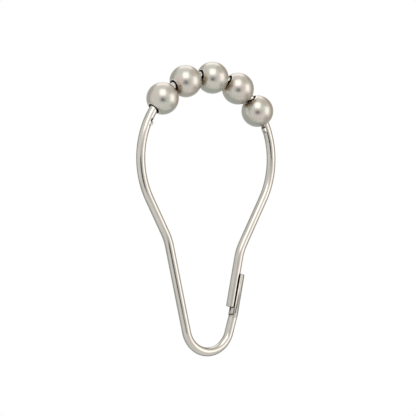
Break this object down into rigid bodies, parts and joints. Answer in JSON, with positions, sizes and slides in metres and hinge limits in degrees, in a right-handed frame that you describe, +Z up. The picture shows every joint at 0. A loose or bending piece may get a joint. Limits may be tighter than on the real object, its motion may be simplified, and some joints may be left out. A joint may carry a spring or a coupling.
{
  "type": "shower curtain ring",
  "caption": "Pear-shaped sprung wire ring for hanging a shower curtain, with roller balls along its top arc and a trough clasp in one lower limb.",
  "frame": {"origin": "centre of the eye's top arc, on the axis of the curtain rod", "axes": "+Z up, along the ring's length; +Y along the curtain rod, square to the ring's plane; +X to the side with the clasp"},
  "size_m": [0.0458, 0.009, 0.0823],
  "materials": {
    "nickel_wire": "drawn steel wire, satin nickel plate",
    "nickel_ball": "pressed hollow bead, satin nickel plate"
  },
  "bodies": {
    "ring": {"wire_ring": "nickel_wire"},
    "ball_1": {"roller_ball_1": "nickel_ball"},
    "ball_2": {"roller_ball_2": "nickel_ball"},
    "ball_3": {"roller_ball_3": "nickel_ball"},
    "ball_4": {"roller_ball_4": "nickel_ball"},
    "ball_5": {"roller_ball_5": "nickel_ball"}
  },
  "joints": [
    {"name": "ball_1_spin", "type": "hinge", "parent": "ring", "child": "ball_1", "pos_m": [-0.0146, 0, 0.01341], "axis": [0.6993, 0, 0.7149], "continuous": true},
    {"name": "ball_2_spin", "type": "hinge", "parent": "ring", "child": "ball_2", "pos_m": [-0.00707, 0, 0.01838], "axis": [0.9332, 0, 0.3593], "continuous": true},
    {"name": "ball_3_spin", "type": "hinge", "parent": "ring", "child": "ball_3", "pos_m": [0.00182, 0, 0.01961], "axis": [0.9957, 0, -0.0924], "continuous": true},
    {"name": "ball_4_spin", "type": "hinge", "parent": "ring", "child": "ball_4", "pos_m": [0.01034, 0, 0.01677], "axis": [0.8529, 0, -0.522], "continuous": true},
    {"name": "ball_5_spin", "type": "hinge", "parent": "ring", "child": "ball_5", "pos_m": [0.01695, 0, 0.0106], "axis": [0.5796, 0, -0.8149], "continuous": true}
  ]
}
